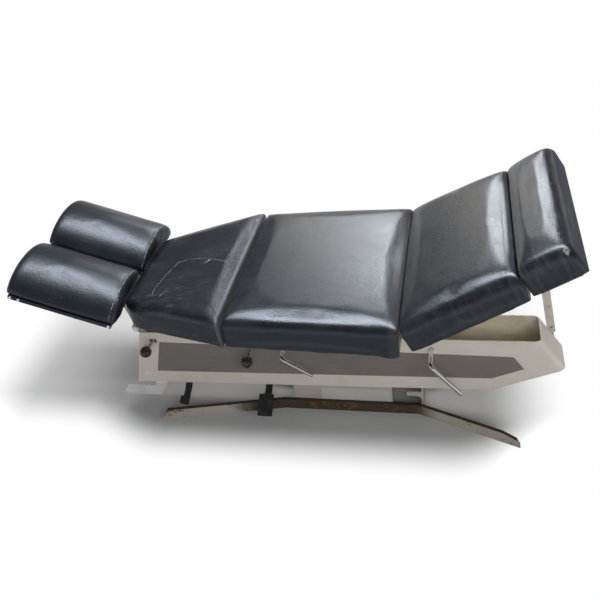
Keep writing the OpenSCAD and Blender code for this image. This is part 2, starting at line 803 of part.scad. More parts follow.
// Skin of stacked rings between two middle points
module stacked(rings, low_point, high_point) {
  n = len(rings[0]);
  last = len(rings) - 1;
  points = concat([low_point], [for (g = rings) for (p = g) p], [high_point]);
  top = len(points) - 1;
  faces = concat(
    [for (i = [0:n - 1]) [0, 1 + i, 1 + (i + 1) % n]],
    [for (k = [0:last - 1]) for (i = [0:n - 1])
      [1 + k * n + i, 1 + (k + 1) * n + i, 1 + k * n + (i + 1) % n]],
    [for (k = [0:last - 1]) for (i = [0:n - 1])
      [1 + k * n + (i + 1) % n, 1 + (k + 1) * n + i, 1 + (k + 1) * n + (i + 1) % n]],
    [for (i = [0:n - 1]) [1 + last * n + i, top, 1 + last * n + (i + 1) % n]]);
  polyhedron(points, faces);
}
module cushion(length, w0, w1, rs, tall) {
  hole = board_inset - recess_gap;
  recess = board_t + recess_gap;
  rings = concat(
    [for (z = [recess, 0]) ring(length, w0, w1, [for (r = rs) recess_gap], hole, 0, z)],
    [for (s = row_shares) row_ring(s, length, w0, w1, rs, tall)]);
  color(vinyl) stacked(rings, [length / 2, 0, recess], [length / 2, 0, tall]);
}
// Board that fills the recess
module board(length, w0, w1) {
  k = (w1 - w0) / 2 / length * board_inset;
  color(ply) linear_extrude(board_t) polygon([
    [board_inset, board_inset - w0 / 2 - k], [length - board_inset, board_inset - w1 / 2 + k],
    [length - board_inset, w1 / 2 - board_inset - k], [board_inset, w0 / 2 - board_inset + k]]);
}

// Carrier tray under the boards, in a frame whose origin is the hinge
module under_tray(x0, x1, low_x) {
  color(cream) difference() {
    union() {
      translate([x0, -tray_y, knuckle_r]) cube([x1 - x0, 2 * tray_y, tray_t]);
      both_sides() slab(-tray_y, tray_t - tray_y) {
        polygon([[x0, knuckle_r], [x0, hinge_drop - flange_h], [0, -knuckle_r], [0, knuckle_r]]);
        translate([x1 > 0 ? 0 : x1, low_x]) square([abs(x1), knuckle_r - low_x]);
        circle(knuckle_r);
      }
    }
    rod_y(0, 0, -frame_w, frame_w, pin_d + 2 * fit);
  }
}

// Headpiece: arms and tray, two boards, two half-round cushions and their tacks
module head_arm() {
  low = head_rise - tray_t;
  tray_end = head_neck_x - head_tray_in;
  color(steel) difference() {
    union() {
      both_sides() slab(-head_arm_y, cheek_t - head_arm_y) {
        polygon([
          [head_pin_d, 0], [head_arm_near, low], [head_arm_past, low],
          [head_arm_past / 2, head_rise / 2], [-head_pin_d, 0]]);
        circle(head_pin_d);
      }
      rod_y(0, 0, -head_arm_y, head_arm_y, 2 * head_pin_d);
      translate([tray_end - head_tray_len, -head_tray_y, low])
        cube([head_tray_len, 2 * head_tray_y, tray_t]);
    }
    translate([tray_end - head_tray_len - over, -head_gap / 2, low - over])
      cube([head_tray_len - head_slot_in, head_gap, tray_t + 2 * over]);
    rod_y(0, 0, -frame_w, frame_w, head_pin_d + 2 * fit);
  }
}
module head_boards() {
  color(ply) both_sides()
    translate([head_tip + head_over, head_gap / 2 + head_board_in, head_rise])
      cube([head_len - head_over - head_board_in, head_pad_w - 2 * head_board_in, board_t]);
}
function half_round(inset) =
  let (w = head_pad_w / 2 - inset, h = head_pad_h - board_t - inset)
  [for (i = [0:half_round_steps]) let (t = 180 * i / half_round_steps)
    [-w * cos(t), i == 0 || i == half_round_steps ? 0 : h * pow(sin(t), half_round_power_share)]];
module half_round_cushion() {
  near_stations = [for (s = station_shares) [s[0] * half_round_edge, s[1] * half_round_edge]];
  stations = concat(near_stations, [[head_len / 2, -half_round_swell]],
    [for (i = [len(near_stations) - 1:-1:0]) [head_len - near_stations[i][0], near_stations[i][1]]]);
  rings = [for (s = stations) [for (p = half_round(s[1])) [s[0], p[0], p[1]]]];
  mid_h = (head_pad_h - board_t) / 2;
  color(vinyl) stacked(rings, [0, 0, mid_h], [head_len, 0, mid_h]);
}
module head_cushion_far() {
  translate([head_tip, (head_gap + head_pad_w) / 2, head_rise + board_t])
    half_round_cushion();
}
module head_cushion_near() { mirror([0, 1, 0]) head_cushion_far(); }
module head_tacks() {
  side = head_gap / 2 + head_pad_w - head_board_in;
  color(zinc) both_sides() for (s = tack_shares)
    rod_y(head_neck_x - s * head_len, head_rise + board_t / 2, -side - tack_h, -side, tack_d);
}

// Thoracic section
thoracic_edge = -thoracic_gap - thoracic_hx;
module thoracic_carrier() {
  under_tray(thoracic_edge - thoracic_len + board_inset + over, thoracic_edge - board_inset - over, 0);
}
module thoracic_board() {
  translate([thoracic_edge - thoracic_len, 0, hinge_drop])
    board(thoracic_len, thoracic_head_w, thoracic_foot_w);
}
module thoracic_cushion() {
  rs = [corner_r, neck_corner_r, neck_corner_r, corner_r];
  translate([thoracic_edge - thoracic_len, 0, hinge_drop])
    cushion(thoracic_len, thoracic_head_w, thoracic_foot_w, rs, pad_t);
}

// Lumbar section
module lumbar_place() { translate([lumbar_hx, 0, hinge_z]) children(); }
module lumbar_carrier() {
  under_tray(board_inset + over - lumbar_hx, lumbar_len - board_inset - over - lumbar_hx, 0);
}
module lumbar_drop_rod() {
  tray_low = hinge_z + knuckle_r;
  color(steel) translate([lumbar_crank_x, 0, drop_rod_low]) {
    cylinder(d = drop_rod_d, h = tray_low - drop_rod_low);
    translate([0, 0, tray_low - drop_rod_low - tray_t]) cylinder(d = 2 * drop_rod_d, h = tray_t);
  }
}
module lumbar_board() { translate([0, 0, top_h - pad_t]) board(lumbar_len, lumbar_head_w, lumbar_foot_w); }
module lumbar_cushion() {
  translate([0, 0, top_h - pad_t])
    cushion(lumbar_len, lumbar_head_w, lumbar_foot_w, even_corners, pad_t);
}

// Pelvic section, in its own frame at the hinge in the crease
module leg_carrier() {
  low = leg_under - tray_t;
  color(cream) difference() {
    union() {
      translate([leg_edge + board_inset + over, -tray_y, low])
        cube([pelvic_len - 2 * board_inset - 2 * over, 2 * tray_y, tray_t]);
      both_sides() slab(-tray_y, tray_t - tray_y) {
        polygon([
          [-knuckle_r, 0], [knuckle_r, 0], [knuckle_r, low], [leg_flange_end, low],
          [leg_flange_end, low - leg_flange_h], [2 * knuckle_r, low - leg_flange_h],
          [-knuckle_r, low - leg_flange_h / 2]]);
        circle(knuckle_r);
      }
    }
    rod_y(0, 0, -frame_w, frame_w, pin_d + 2 * fit);
    rod_y(prop_pivot_x, prop_pivot_z, 0, frame_w, prop_pin_d + 2 * fit);
  }
}
module slide_guides() {
  color(steel) for (x = guide_xs) both_sides() difference() {
    translate([x, rod_y_place - guide_w / 2, rod_z - guide_h / 2]) cube([guide_len, guide_w, guide_h]);
    translate([x - over, rod_y_place, rod_z]) rotate([0, 90, 0])
      cylinder(d = slide_rod_d + 2 * fit, h = guide_len + 2 * over);
  }
}
module pelvic_board() {
  translate([leg_edge, 0, leg_under]) board(pelvic_len, pelvic_head_w, pelvic_foot_w);
}
module pelvic_cushion() {
  translate([leg_edge, 0, leg_under])
    cushion(pelvic_len, pelvic_head_w, pelvic_foot_w, even_corners, leg_pad_t);
}

// Foot section on its two slide rods
function foot_plane(x) = foot_low_z + (x - foot_low_x) * tan(foot_tilt);
module foot_slide_rods() {
  color(chrome) both_sides() translate([rod_start, rod_y_place, rod_z]) rotate([0, 90, 0])
    cylinder(d = slide_rod_d, h = wedge_start - rod_start);
}
module foot_wedge() {
  x0 = foot_low_x + board_inset + over;
  x1 = foot_low_x + (foot_len - board_inset - over) * cos(foot_tilt);
  color(steel) slab(-wedge_y, wedge_y) polygon([
    [wedge_start, wedge_low], [wedge_start, foot_plane(wedge_start) - over], [x0, foot_plane(x0) - over],
    [x0, foot_plane(x0)], [x1, foot_plane(x1)], [x1, foot_plane(x1) - wedge_toe],
    [x0, wedge_low]]);
}
module foot_place() { translate([foot_low_x, 0, foot_low_z]) rotate([0, -foot_tilt, 0]) children(); }
module foot_board() { foot_place() board(foot_len, foot_w, foot_w); }
module foot_cushion() {
  foot_place() cushion(foot_len, foot_w, foot_w, even_corners, leg_pad_t);
}

// Prop arm on the far side, with an open seat over the stud
module prop_arm() {
  seat_r = stud_d / 2 + slack;
  half = prop_w / 2;
  toe = -prop_len - prop_lip;
  color(cream) translate([prop_top_x, 0, prop_top_z]) rotate([0, -prop_lean, 0])
    slab(prop_y, prop_y + prop_t) difference() {
      union() {
        translate([-half, toe]) square([prop_w, -toe]);
        circle(half);
      }
      circle(d = prop_pin_d + 2 * fit);
      translate([0, -prop_len]) circle(seat_r);
      polygon([
        [-seat_r, -prop_len], [-seat_r, toe - over], [prop_w, toe - over],
        [prop_w, seat_r - prop_len + prop_w * tan(prop_seat_tilt)], [0, seat_r - prop_len]]);
    }
}
module prop_pin() {
  flange_in = tray_y - tray_t - pin_reach;
  color(steel) translate([prop_pivot_x, 0, prop_pivot_z]) {
    rod_y(0, 0, flange_in, prop_y + prop_t + pin_reach, prop_pin_d);
    rod_y(0, 0, tray_y, prop_y - slack, prop_washer_d);
    rod_y(0, 0, prop_y + prop_t + slack, prop_y + prop_t + pin_reach, prop_washer_d);
  }
}

// Ball levers: a hub on its post, a rod through the wall's slot, and a ball knob
function hub_point(x) = [x, post_y, post_top + lever_hub_h / 2];
function wall_place(x, ball) =
  let (p = hub_point(x), s = (-frame_y + sheet_t / 2 - p[1]) / (ball[1] - p[1]))
  [p[0] + s * (ball[0] - p[0]), p[2] + s * (ball[2] - p[2])];
module ball_lever(x, ball) {
  p = hub_point(x);
  dir = (ball - p) / norm(ball - p);
  ferrule_end = ball_d / 2 + slack;
  color(chrome) difference() {
    union() {
      translate([x, post_y, post_top]) cylinder(d = lever_hub_d, h = lever_hub_h);
      rod_between(p, ball, lever_rod_d);
      rod_between(ball - dir * (ferrule_end + ferrule_len), ball - dir * ferrule_end, ferrule_d);
    }
    translate([x, post_y, post_top - over]) cylinder(d = lever_pin_d + 2 * fit, h = lever_hub_h + 2 * over);
  }
}
module ball_knob(x, ball) {
  p = hub_point(x);
  color(black) difference() {
    translate(ball) sphere(d = ball_d);
    rod_between(p, ball, lever_rod_d + 2 * fit);
  }
}
module head_lock_lever() { ball_lever(head_lock_post_x, head_lock_ball); }
module head_lock_knob() { ball_knob(head_lock_post_x, head_lock_ball); }
module thoracic_lever() { ball_lever(thoracic_post_x, thoracic_ball); }
module thoracic_knob() { ball_knob(thoracic_post_x, thoracic_ball); }

// Bent cranks: a shaft across the trough with a collar and a cam, and a round arm outside
module crank(x, out, tilt, arm_len) {
  bend_y = -frame_y - out + crank_bend;
  collar_y = bush_t + side_gap - inner_y;
  color(chrome) translate([x, 0, crank_z]) rotate([0, tilt, 0]) {
    rod_y(0, 0, bend_y, inner_y - slack, crank_d);
    translate([crank_bend, bend_y, 0]) rotate([0, 0, 180]) rotate_extrude(angle = 90)
      translate([crank_bend, 0]) circle(d = crank_d);
    translate([crank_bend, bend_y - crank_bend, 0]) rotate([0, 90, 0])
      cylinder(d = crank_d, h = arm_len - crank_bend - crank_d / 2);
    translate([arm_len - crank_d / 2, bend_y - crank_bend, 0]) sphere(d = crank_d);
    rod_y(0, 0, collar_y, collar_y + collar_t, collar_d);
    rod_y(0, 0, -cam_t / 2, cam_t / 2, cam_d);
  }
}
module lumbar_crank() { crank(lumbar_crank_x, lumbar_crank_out, lumbar_crank_tilt, lumbar_crank_len); }
module pelvic_crank() { crank(pelvic_crank_x, pelvic_crank_out, pelvic_crank_tilt, pelvic_crank_len); }

// Foot pedals hinged under the trough floor
pedal_hinge_z = pan_z - pedal_hinge_drop;
pedal_hinge = [pedal_hinge_y, pedal_hinge_z];
pedal_knee = [pedal_knee_y, pedal_knee_z];
// Strip in Y and Z, as wide along the table as asked
module cross_strip(p, half, wide) {
  translate([-wide / 2, 0, 0]) rotate([90, 0, 90]) linear_extrude(wide) polygon(strip(p, half));
}
module pedal_hub() {
  translate([-pedal_arm_w / 2, pedal_hinge_y, pedal_hinge_z]) rotate([0, 90, 0])
    cylinder(d = pedal_hub_d, h = pedal_arm_w);
}
module pedal_bore() {
  translate([-pedal_arm_w, pedal_hinge_y, pedal_hinge_z]) rotate([0, 90, 0])
    cylinder(d = pedal_pin_d + 2 * fit, h = 2 * pedal_arm_w);
}
module pedal_brackets() {
  ear_x = pedal_arm_w / 2 + side_gap;
  color(steel) for (x = [head_pedal_x, middle_pedal_x]) translate([x, 0, 0]) {
    for (s = [-1, 1]) translate([s > 0 ? ear_x : -ear_x - pedal_bracket_t, pedal_hinge_y - pedal_hub_d / 2,
        pedal_hinge_z - pedal_hub_d / 2])
      cube([pedal_bracket_t, pedal_hub_d, pedal_hinge_drop + pedal_hub_d / 2]);
    translate([-ear_x - pedal_bracket_t, pedal_hinge_y, pedal_hinge_z]) rotate([0, 90, 0])
      cylinder(d = pedal_pin_d, h = 2 * (ear_x + pedal_bracket_t));
  }
}
// The head pedal's lower part is turned towards the head end at its knee
module skewed() {
  translate([0, pedal_knee_y, 0]) rotate([0, 0, -head_pedal_skew])
    translate([0, -pedal_knee_y, 0]) children();
}
module head_pedal() {
  color(black) translate([head_pedal_x, 0, 0]) difference() {
    union() {
      pedal_hub();
      cross_strip([pedal_hinge, pedal_knee], pedal_arm_t / 2, pedal_arm_w);
      skewed() cross_strip([pedal_knee, head_pedal_end], pedal_arm_t / 2, pedal_arm_w);
    }
    pedal_bore();
  }
}
// Points of a segment moved square to it
function moved(p, q, d) = let (n = turn((p - q) / norm(p - q))) [p + d * n, q + d * n];
module head_pedal_pad() {
  lift = (pedal_arm_t + pedal_pad_t) / 2;
  top = (head_pedal_end + pedal_knee) / 2;
  color(rubber) translate([head_pedal_x, 0, 0]) skewed()
    cross_strip(moved(top, head_pedal_end, lift), pedal_pad_t / 2, pedal_arm_w + pedal_arm_t);
}
middle_arm = [pedal_hinge, pedal_knee, middle_pad_start, middle_pad_end];
module middle_pedal() {
  color(black) translate([middle_pedal_x, 0, 0]) difference() {
    union() {
      pedal_hub();
      cross_strip(middle_arm, pedal_arm_t / 2, pedal_arm_w);
    }
    pedal_bore();
  }
}
module middle_pedal_pad() {
  lift = (pedal_arm_t + pedal_pad_t) / 2;
  color(rubber) translate([middle_pedal_x, 0, 0])
    cross_strip(moved(middle_pad_start, middle_pad_end, lift), pedal_pad_t / 2, pedal_pad_w);
}

at_table() base_bar_near();
at_table() base_bar_far();
at_table() pedestal_near_panel();
at_table() pedestal_far_panel();
at_table() pedestal_head_plate();
at_table() pedestal_foot_plate();
at_table() blank_plate();
at_table() near_side_plate();
at_table() far_side_plate();
at_table() trough_pan();
at_table() head_end_plate();
at_table() foot_end_plate();
at_table() grey_panels();
at_table() zinc_bracket();
at_table() frame_screws();
at_table() front_stand();
at_table() rear_stand();
at_table() rubber_bumpers();
at_table() thoracic_stop();
at_table() head_ears();
at_table() head_hinge_pin();
at_table() thoracic_hinge_pin();
at_table() lumbar_hinge_pin();
at_table() leg_hinge_pin();
at_table() lever_posts();
at_table() crank_bushes();
at_table() prop_stud();
at_table() pedal_brackets();
at_table() head_place() head_arm();
at_table() head_place() head_boards();
at_table() head_place() head_cushion_near();
at_table() head_place() head_cushion_far();
at_table() head_place() head_tacks();
at_table() thoracic_place() thoracic_carrier();
at_table() thoracic_place() thoracic_board();
at_table() thoracic_place() thoracic_cushion();
at_table() lumbar_place() lumbar_carrier();
at_table() lumbar_drop_rod();
at_table() lumbar_board();
at_table() lumbar_cushion();
at_table() leg_place() leg_carrier();
at_table() leg_place() slide_guides();
at_table() leg_place() pelvic_board();
at_table() leg_place() pelvic_cushion();
at_table() leg_place() foot_slide_rods();
at_table() leg_place() foot_wedge();
at_table() leg_place() foot_board();
at_table() leg_place() foot_cushion();
at_table() prop_arm();
at_table() leg_place() prop_pin();
at_table() head_lock_lever();
at_table() head_lock_knob();
at_table() thoracic_lever();
at_table() thoracic_knob();
at_table() lumbar_crank();
at_table() pelvic_crank();
at_table() head_pedal();
at_table() head_pedal_pad();
at_table() middle_pedal();
at_table() middle_pedal_pad();
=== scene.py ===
import json
import math

import bmesh
import bpy
import numpy as np
from mathutils import Matrix, Vector


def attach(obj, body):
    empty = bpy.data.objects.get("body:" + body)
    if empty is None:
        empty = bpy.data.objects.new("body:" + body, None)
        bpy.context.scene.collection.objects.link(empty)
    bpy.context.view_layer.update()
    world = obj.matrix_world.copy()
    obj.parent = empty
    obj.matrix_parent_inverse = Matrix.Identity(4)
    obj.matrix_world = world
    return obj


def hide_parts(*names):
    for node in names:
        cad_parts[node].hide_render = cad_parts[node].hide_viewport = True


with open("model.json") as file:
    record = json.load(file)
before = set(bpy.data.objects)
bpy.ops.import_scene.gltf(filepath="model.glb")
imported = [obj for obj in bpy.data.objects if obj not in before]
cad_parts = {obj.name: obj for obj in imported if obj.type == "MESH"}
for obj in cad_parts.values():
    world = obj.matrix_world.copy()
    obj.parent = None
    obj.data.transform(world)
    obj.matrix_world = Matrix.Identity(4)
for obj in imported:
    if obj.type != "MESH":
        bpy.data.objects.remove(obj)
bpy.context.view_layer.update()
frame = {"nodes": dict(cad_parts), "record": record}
bpy.ops.object.select_all(action="DESELECT")

# Camera: a 42 mm lens at eye level on the lever side, looking down on the table
# and rolled a little, as in the photograph.
camera_turn = Matrix.Rotation(math.radians(16.0), 4, "Z")
camera_tip = Matrix.Rotation(math.radians(54.0), 4, "X")
camera_roll = Matrix.Rotation(math.radians(-8.85), 4, "Z")
bpy.ops.object.camera_add()
camera = bpy.context.object
camera_place = Matrix.Translation((0.4906, -1.6738, 1.6615))
camera.matrix_world = camera_place @ camera_turn @ camera_tip @ camera_roll
camera.data.lens = 42
camera.data.sensor_width = 36
camera.data.clip_end = 60
bpy.context.scene.camera = camera
bpy.context.scene.view_settings.view_transform = "Standard"


# Shader maths: a wrapper round a socket, so that values combine with the plain operators.
class Wire:
    """A value in a shader. Arithmetic on it adds Math nodes."""

    def __init__(self, socket):
        self.socket = socket

    def node(self, kind, settings=None, out=0, **inputs):
        """A new node. Its sockets are given by name, or by number as i0, i1 and so on."""
        tree = self.socket.id_data
        made = tree.nodes.new(kind)
        for key, value in (settings or {}).items():
            setattr(made, key, value)
        for key, value in inputs.items():
            numbered = key[0] == "i" and key[1:].isdigit()
            socket = made.inputs[int(key[1:]) if numbered else key]
            if isinstance(value, Wire):
                tree.links.new(value.socket, socket)
            else:
                socket.default_value = value
        return Wire(made.outputs[out])

    def maths(self, operation, first, second=0.0):
        return self.node("ShaderNodeMath", {"operation": operation}, i0=first, i1=second)

    def largest(self, *others):
        most = self
        for other in others:
            most = self.maths("MAXIMUM", most, other)
        return most

    def clamped(self):
        return self.node("ShaderNodeClamp", None, 0, Value=self)

    def __add__(self, other):
        return self.maths("ADD", self, other)

    __radd__ = __add__

    def __sub__(self, other):
        return self.maths("SUBTRACT", self, other)

    def __rsub__(self, other):
        return self.maths("SUBTRACT", other, self)

    def __mul__(self, other):
        return self.maths("MULTIPLY", self, other)

    __rmul__ = __mul__

    def __abs__(self):
        return self.maths("ABSOLUTE", self)

    def between(self, low, high):
        """0 below low and 1 above high, smooth from one to the other."""
        return self.node("ShaderNodeMapRange", {"interpolation_type": "SMOOTHSTEP"},
                         i0=self, i1=low, i2=high, i3=0.0, i4=1.0)

    def mix(self, first, second):
        """The first colour where this is 0, and the second where it is 1."""
        first = (*first, 1) if isinstance(first, tuple) else first
        second = (*second, 1) if isinstance(second, tuple) else second
        return self.node("ShaderNodeMix", {"data_type": "RGBA"}, 2, i0=self, i6=first, i7=second)

    def part(self, axis):
        return self.node("ShaderNodeSeparateXYZ", None, "XYZ".index(axis), Vector=self)

    def noise(self, scale, detail=3.0, roughness=0.5, distortion=0.0):
        return self.node("ShaderNodeTexNoise", None, 0, Vector=self, Scale=scale, Detail=detail,
                         Roughness=roughness, Distortion=distortion)

    def stretch(self, x, y, z):
        return self.node("ShaderNodeMapping", None, 0, Vector=self, Scale=(x, y, z))


# Studio: a plain pale floor that keeps the table's shadow and turns white away from it. Soft
# lamps hang overhead, behind both ends, with a warm strip there, and before the table.
def white_to_the_eye(tree):
    """1 for a camera, glossy or transmission ray, and 0 for a diffuse or shadow ray."""
    rays = tree.nodes.new("ShaderNodeLightPath")
    camera_ray, glossy_ray, transmission_ray = (
        Wire(rays.outputs[name]) for name in ("Is Camera Ray", "Is Glossy Ray", "Is Transmission Ray"))
    return camera_ray.largest(glossy_ray, transmission_ray)


# The camera sees a white world. A reflection sees a dim ceiling with a white band round its foot.
world = bpy.data.worlds.new("studio")
bpy.context.scene.world = world
world.use_nodes = True
background = world.node_tree.nodes["Background"]
seen = white_to_the_eye(world.node_tree)
direction = Wire(world.node_tree.nodes.new("ShaderNodeTexCoord").outputs["Generated"])
ceiling = direction.part("Z").between(0.02, 0.11).mix((1.0, 1.0, 1.0), (0.17, 0.17, 0.18))
camera_ray = direction.node("ShaderNodeLightPath", None, "Is Camera Ray")
sky = seen.mix((0.14, 0.144, 0.152), camera_ray.mix(ceiling, (1.0, 1.0, 1.0)))
world.node_tree.links.new(sky.socket, background.inputs["Color"])

# The floor is grey and takes the shadow near the table. Its white share grows from fade on.
bpy.ops.mesh.primitive_plane_add(size=16, location=(0, 0, -0.0006))
floor = bpy.context.object
floor.name = "studio_floor"
floor_finish = bpy.data.materials.new("pale_floor")
floor_finish.use_nodes = True
floor_tree = floor_finish.node_tree
floor_tree.nodes.clear()
floor_seen = white_to_the_eye(floor_tree)
floor_place = Wire(floor_tree.nodes.new("ShaderNodeTexCoord").outputs["Object"])
along = floor_place.part("X")
across = floor_place.part("Y")
corner = abs(along).between(0.45, 0.80) * 0.12
fade = (along.between(0.55, 0.84) + (0.0 - along).between(1.00, 1.25)
        + across.between(0.40, 1.00) + (corner - across).between(0.15, 0.34))
mirrored = (along * along + across * across).between(5.0, 9.0)
glossy_ray = floor_place.node("ShaderNodeLightPath", None, "Is Glossy Ray")
grey = glossy_ray.mix((0.54, 0.54, 0.54), (0.36, 0.36, 0.36))
lit = glossy_ray.node("ShaderNodeBsdfDiffuse", None, 0, Color=grey)
share = (floor_seen * (fade * (1.0 - glossy_ray) + mirrored * glossy_ray)).clamped()
glow = floor_seen.node("ShaderNodeEmission", None, 0, Color=(1, 1, 1, 1), Strength=1.0)
shown = lit.node("ShaderNodeMixShader", None, 0, i0=share, i1=lit, i2=glow)
floor_out = floor_tree.nodes.new("ShaderNodeOutputMaterial")
floor_tree.links.new(shown.socket, floor_out.inputs["Surface"])
floor.data.materials.append(floor_finish)


def softbox(name, place, target, size, power):
    bpy.ops.object.light_add(type="AREA", location=place)
    lamp = bpy.context.object
    lamp.name = name
    lamp.data.shape = "RECTANGLE"
    lamp.data.size = size[0]
    lamp.data.size_y = size[1]
    lamp.data.energy = power
    lamp.rotation_euler = (Vector(target) - Vector(place)).to_track_quat("-Z", "Y").to_euler()
    return lamp


softbox("overhead", (0.05, 0.20, 2.6), (0.05, 0.20, 0.0), (2.2, 0.6), 78)
softbox("behind_foot_end", (0.24, 2.4, 2.08), (0.3, 0.0, 0.5), (0.85, 0.50), 24)
softbox("behind_head_end", (-0.50, 2.4, 1.93), (0.0, 0.0, 0.5), (0.9, 0.9), 4.2)
before = softbox("before", (1.4, -2.9, 2.1), (0.3, 0.0, 0.25), (3.0, 1.6), 54)
before.visible_glossy = False
warm = softbox("warm_strip", (-0.49, 2.36, 1.62), (0.2, 0.0, 0.6), (0.12, 0.7), 1.5)
warm.data.color = (1.0, 0.82, 0.55)


# Finishes: each is one procedural material on the pieces' own coordinates, given to solids
# that carry over from the frame.
def new_finish(name):
    """A material with its surface node and the piece's own place as a Wire."""
    finish = bpy.data.materials.new(name)
    finish.use_nodes = True
    surface = finish.node_tree.nodes["Principled BSDF"]
    coordinates = finish.node_tree.nodes.new("ShaderNodeTexCoord")
    return finish, surface, Wire(coordinates.outputs["Object"])


def feed(surface, name, value):
    """Link or set an input of a surface."""
    if isinstance(value, Wire):
        value.socket.id_data.links.new(value.socket, surface.inputs[name])
    else:
        surface.inputs[name].default_value = value


def bumped(surface, height, distance, strength=1.0):
    bump = height.node("ShaderNodeBump", None, 0, Height=height, Distance=distance, Strength=strength)
    feed(surface, "Normal", bump)


def give(finish, *nodes):
    for node in nodes:
        for slot in frame["nodes"][node].material_slots:
            slot.material = finish


# Welded steelwork: cream stove enamel on sheet and bar, yellowed, rubbed and chipped by
# years of use.
def cream_enamel(name, colour, grime, chips, tan=(0.42, 0.33, 0.20)):
    finish, surface, place = new_finish(name)
    cloud = place.noise(7.0, 5.0, 0.6)
    streak = place.stretch(5.0, 5.0, 22.0).noise(3.0, 4.0, 0.6, 0.4)
    dirt = cloud.between(0.48, 0.74) * grime
    clean = streak.between(0.35, 0.75).mix(tuple(0.94 * c for c in colour), colour)
    aged = dirt.mix(clean, tan)
    flake = place.noise(60.0, 6.0, 0.7, 0.3).between(0.70 - 0.06 * chips, 0.73 - 0.06 * chips)
    flake = flake * cloud.between(0.42, 0.56)
    feed(surface, "Base Color", flake.mix(aged, (0.09, 0.065, 0.045)))
    feed(surface, "Roughness", 0.34 + 0.22 * cloud + 0.25 * flake)
    feed(surface, "Coat Weight", 0.25)
    orange_peel = place.noise(260.0, 2.0, 0.5)
    bumped(surface, orange_peel * 0.25 - flake, 0.0004)
    return finish


frame_cream = cream_enamel("frame_cream", (0.75, 0.70, 0.62), 0.22, 0.55)
give(frame_cream, "near_side_plate", "foot_end_plate", "head_end_plate", "trough_pan")
# The trough's far wall and the stands take a yellower copy of the cream with heavier dark patches: the
# tint and the patches are painted shade and a painted warm reflection inside the trough.
inside_cream_painted_shade = cream_enamel("inside_cream_painted_shade", (0.78, 0.69, 0.54), 0.45, 0.5)
give(inside_cream_painted_shade, "far_side_plate", "front_stand", "rear_stand")
carrier_cream = cream_enamel("carrier_cream", (0.62, 0.58, 0.51), 0.35, 0.7)
give(carrier_cream, "thoracic_carrier", "lumbar_carrier", "leg_carrier")
prop_cream = cream_enamel("prop_cream", (0.66, 0.62, 0.55), 0.5, 1.6, (0.30, 0.24, 0.16))
give(prop_cream, "prop_arm")
pedestal_cream = cream_enamel("pedestal_cream", (0.50, 0.47, 0.41), 0.5, 0.8)
give(pedestal_cream, "pedestal_near_panel", "pedestal_far_panel", "pedestal_head_plate",
     "pedestal_foot_plate")


# Base bars: two flat steel bars on edge, welded along the pedestal and splayed at the
# tips. Their cream paint is rusty and dirty. It darkens to brown along the middle, partly dirt
# and partly painted shade under the table, and on the top faces, as painted shade.
def bar_enamel():
    finish, surface, place = new_finish("bar_enamel")
    cloud = place.noise(9.0, 5.0, 0.65)
    fine = place.noise(70.0, 6.0, 0.7, 0.4)
    # Painted shade: the middle of each bar, under the table, goes dark brown, partly dirt and partly
    # painted shade; the upward faces go dark brown as painted shade only.
    middle = 1.0 - abs(place.part("X") - 0.09).between(0.24, 0.40)
    upward_shade = place.node("ShaderNodeNewGeometry", None, "Normal").part("Z").between(0.6, 0.9)
    wear_and_painted_light = (middle * 0.85 + cloud.between(0.50, 0.70) * 0.5).between(0.2, 0.9)
    paint = wear_and_painted_light.mix((0.46, 0.42, 0.35), (0.06, 0.046, 0.026))
    rust = (fine * cloud).between(0.29, 0.36)
    rusty = rust.mix(paint, (0.16, 0.075, 0.03))
    feed(surface, "Base Color", upward_shade.mix(rusty, (0.045, 0.036, 0.025)))
    feed(surface, "Roughness", 0.42 + 0.3 * cloud)
    bumped(surface, fine - rust * 0.6, 0.0005)
    return finish


give(bar_enamel(), "base_bar_near", "base_bar_far")


# Bare plates and trim: the white plate on the pedestal and the taupe enamel panels on both
# sides of the trough. Both are thin, flat and left plain.
def flat_paint(name, colour, speck, roughness):
    finish, surface, place = new_finish(name)
    cloud = place.noise(5.0, 5.0, 0.6)
    dust = place.stretch(2.0, 2.0, 14.0).noise(9.0, 4.0, 0.6)
    shade = cloud.between(0.3, 0.8).mix(colour, tuple(0.86 * c for c in colour))
    feed(surface, "Base Color", (dust.between(0.55, 0.8) * 0.35).mix(shade, speck))
    feed(surface, "Roughness", roughness + 0.15 * cloud)
    bumped(surface, place.noise(320.0, 2.0), 0.0002)
    return finish


give(flat_paint("taupe_enamel", (0.215, 0.195, 0.18), (0.34, 0.32, 0.30), 0.38), "grey_panels")
give(flat_paint("white_plate", (0.60, 0.585, 0.555), (0.50, 0.48, 0.42), 0.40), "blank_plate")


# Zinc-plated hardware: the bracket with its two holes, the headpiece nuts and the screws
# are bright, with the faint cloudy spangle of zinc.
def zinc_finish():
    finish, surface, place = new_finish("zinc_plating")
    spangle = place.node("ShaderNodeTexVoronoi", None, "Color", Vector=place, Scale=110.0).part("X")
    cloud = place.noise(14.0, 4.0)
    feed(surface, "Base Color", spangle.mix((0.90, 0.91, 0.93), (0.97, 0.98, 0.99)))
    feed(surface, "Metallic", 0.3)
    feed(surface, "Roughness", 0.24 + 0.22 * cloud)
    bumped(surface, place.noise(160.0, 3.0), 0.0003)
    return finish


give(zinc_finish(), "zinc_bracket", "frame_screws", "head_hinge_pin", "head_tacks")


# Machined steel: pins, posts, bushes, guides, ears, arms and the wedge under the foot board
# are turned or sawn steel, dull, with tool marks and a little brown.
def steel_finish():
    finish, surface, place = new_finish("machined_steel")
    marks = place.stretch(1.0, 14.0, 14.0).noise(90.0, 3.0)
    cloud = place.noise(18.0, 5.0, 0.65)
    tarnish = cloud.between(0.5, 0.75)
    feed(surface, "Base Color", tarnish.mix((0.50, 0.49, 0.47), (0.24, 0.19, 0.14)))
    feed(surface, "Metallic", 1.0 - 0.4 * tarnish)
    feed(surface, "Roughness", 0.34 + 0.2 * marks + 0.2 * tarnish)
    bumped(surface, marks, 0.0002)
    return finish


